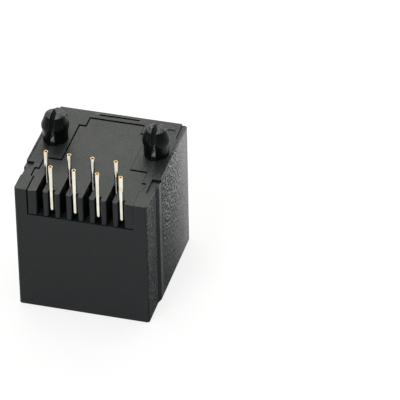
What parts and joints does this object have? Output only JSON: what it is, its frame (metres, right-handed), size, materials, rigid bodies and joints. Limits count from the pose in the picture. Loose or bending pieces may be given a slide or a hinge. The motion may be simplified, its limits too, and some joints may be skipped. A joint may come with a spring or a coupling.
{
  "type": "modular jack",
  "caption": "Top-entry eight-contact modular jack in black plastic, with round-wire contacts, staggered solder tails and two split board pegs.",
  "frame": {"origin": "middle of the mouth face's plane, under the middle of the whole part; the jack stands on its mouth with the board side up", "axes": "+Z from the mouth to the board face, +Y from the contact side to the latch side, +X across the jack"},
  "size_m": [0.0148, 0.0156, 0.0186],
  "materials": {
    "housing": "black glass-filled moulding, fine spark-eroded grain on the side faces, smooth elsewhere",
    "insert": "black moulding, smooth satin",
    "contact_wire": "round spring wire, bright plated, with bare copper-coloured cut ends"
  },
  "bodies": {
    "root": {"housing": "housing", "insert": "insert", "contact_1": "contact_wire", "contact_2": "contact_wire", "contact_3": "contact_wire", "contact_4": "contact_wire", "contact_5": "contact_wire", "contact_6": "contact_wire", "contact_7": "contact_wire", "contact_8": "contact_wire"}
  },
  "joints": []
}
